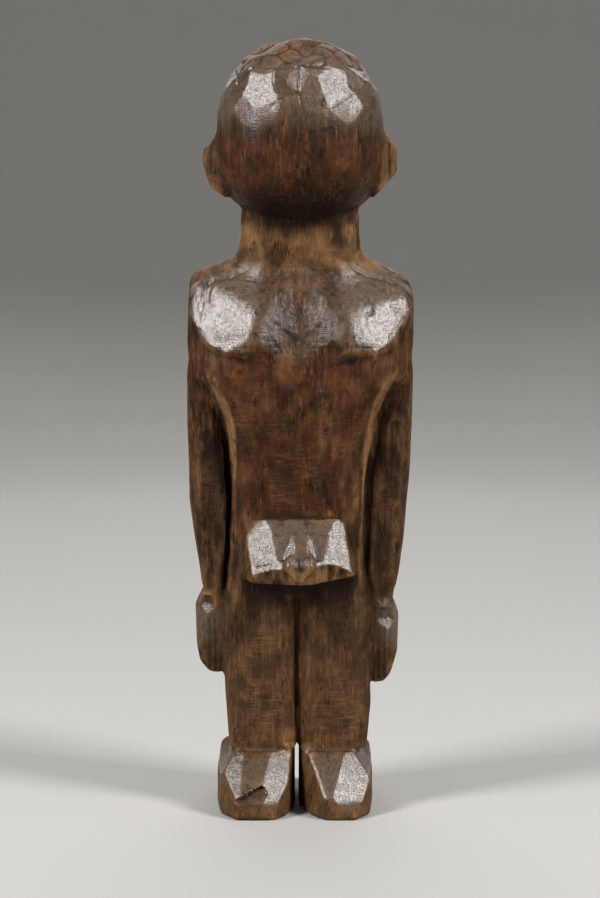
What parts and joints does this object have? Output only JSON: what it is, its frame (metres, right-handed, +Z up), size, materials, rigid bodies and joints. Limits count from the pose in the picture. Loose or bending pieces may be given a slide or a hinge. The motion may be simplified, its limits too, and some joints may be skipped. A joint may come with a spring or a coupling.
{
  "type": "fertility doll",
  "caption": "Standing carved wooden doll with a round knife-faceted head, sloping shoulders, straight arms at the sides, wedge buttocks and block feet.",
  "frame": {"origin": "on the ground under the soles, midway between the outer faces of the arms and midway between the tip of the nose and the backs of the heels", "axes": "+Z up along the doll, -Y the way the doll faces, +X to the doll's own left"},
  "size_m": [0.074, 0.06, 0.2515],
  "materials": {
    "dark_wood": "oiled hardwood, dark red-brown patina with upright grain, satin",
    "worn_wood": "handled hardwood, grey-tan where the patina is rubbed thin, satin",
    "polished_wood": "knife-cut flats of hardwood burnished by handling, semi-gloss"
  },
  "bodies": {
    "root": {"head": "dark_wood", "ear_left": "dark_wood", "ear_right": "dark_wood", "neck": "worn_wood", "shoulders": "polished_wood", "trunk": "dark_wood", "buttocks": "polished_wood", "arm_left": "dark_wood", "arm_right": "dark_wood", "hand_left": "worn_wood", "hand_right": "worn_wood", "leg_left": "worn_wood", "leg_right": "worn_wood", "foot_left": "polished_wood", "foot_right": "polished_wood"}
  },
  "joints": []
}
